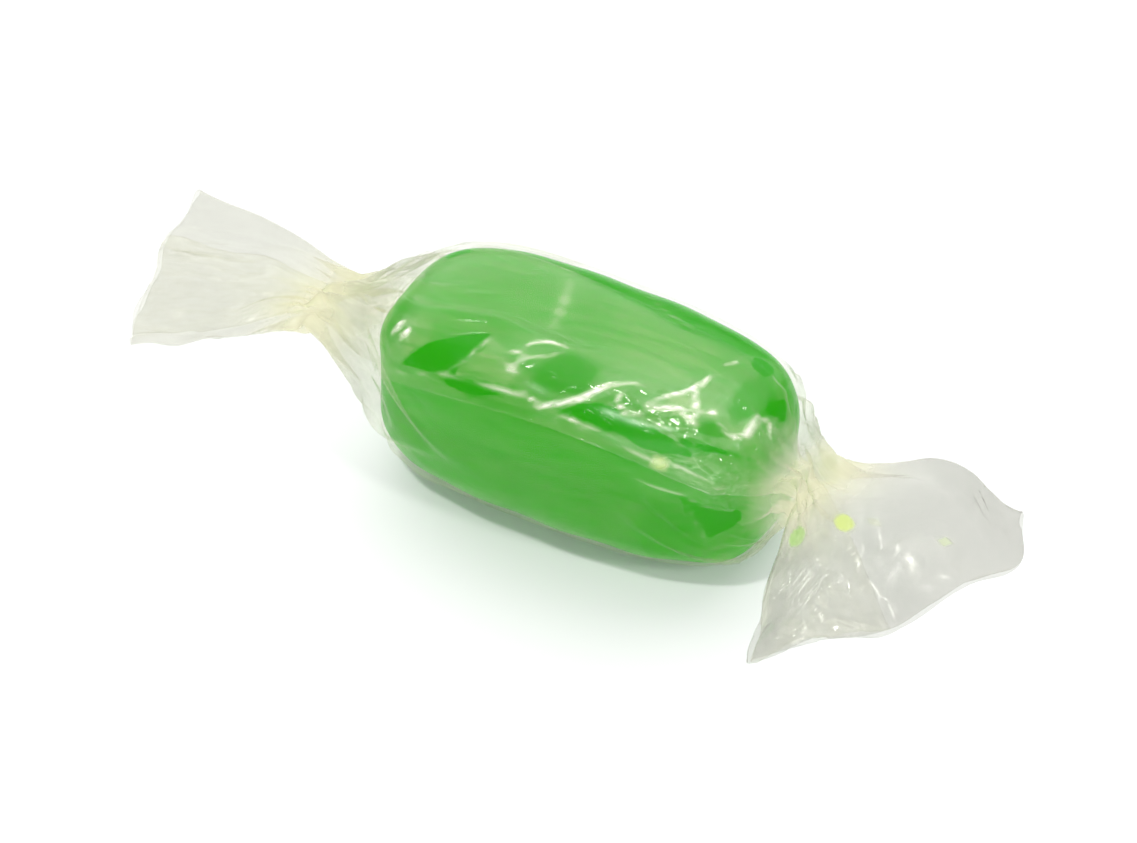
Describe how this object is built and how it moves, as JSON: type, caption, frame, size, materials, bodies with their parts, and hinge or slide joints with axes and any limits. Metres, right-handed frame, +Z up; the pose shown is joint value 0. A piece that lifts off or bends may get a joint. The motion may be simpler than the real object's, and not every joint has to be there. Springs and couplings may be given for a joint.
{
  "type": "wrapped hard boiled sweet",
  "caption": "Oblong clear green boiled sweet in a lapped clear film, gathered into a neck and a spread tail at each end.",
  "frame": {"origin": "on the table, below the middle of the sugar bar, on the flat underside of the film", "axes": "+X along the bar towards the short wide tail, -Y to the front where the film laps, +Z up"},
  "size_m": [0.0645, 0.0209, 0.0149],
  "materials": {
    "sugar": "clear green boiled sugar, glossy, slightly worn",
    "film": "clear glossy film, milky where it is gathered"
  },
  "bodies": {
    "root": {"sweet": "sugar", "wrapper": "film"}
  },
  "joints": []
}
